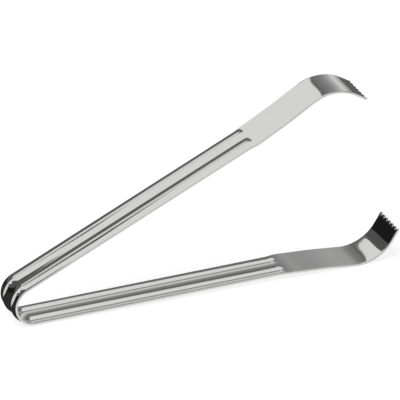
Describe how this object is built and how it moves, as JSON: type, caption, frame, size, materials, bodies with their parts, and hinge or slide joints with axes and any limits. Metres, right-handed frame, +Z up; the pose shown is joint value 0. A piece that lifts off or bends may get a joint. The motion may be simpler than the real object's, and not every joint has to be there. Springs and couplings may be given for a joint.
{
  "type": "spring serving tongs",
  "caption": "One-piece spring tongs in polished stainless steel: a ribbed U-bow and two arms with flat paddles and toothed inward claws, squeezed to grip.",
  "frame": {"origin": "on the surface the tongs lie on, below the middle of their box", "axes": "+X from the bow to the claws, +Y across the strip, +Z up; the lower arm lies on z = 0 and the upper arm stands open above it"},
  "size_m": [0.185, 0.02, 0.0879],
  "materials": {
    "polished_steel": "polished stainless steel with fine lengthwise polishing marks"
  },
  "bodies": {
    "lower": {"lower_arm": "polished_steel", "lower_claw": "polished_steel"},
    "bow": {"spring_bow": "polished_steel"},
    "upper": {"upper_arm": "polished_steel", "upper_claw": "polished_steel"}
  },
  "joints": [
    {"name": "lower_half_bow_flex", "type": "hinge", "parent": "lower", "child": "bow", "pos_m": [-0.08758, 0, 0.00356], "axis": [0, 1, 0], "range_deg": [0, 10.8], "stiffness_Nm_per_rad": 10, "deforming": ["spring_bow"]},
    {"name": "upper_half_bow_flex", "type": "hinge", "parent": "bow", "child": "upper", "pos_m": [-0.08985, 0, 0.01354], "axis": [0, 1, 0], "range_deg": [0, 10.8], "stiffness_Nm_per_rad": 10, "deforming": ["spring_bow"]}
  ],
  "couplings": [
    {"joint": "upper_half_bow_flex", "follows": "lower_half_bow_flex", "ratio": 1}
  ]
}
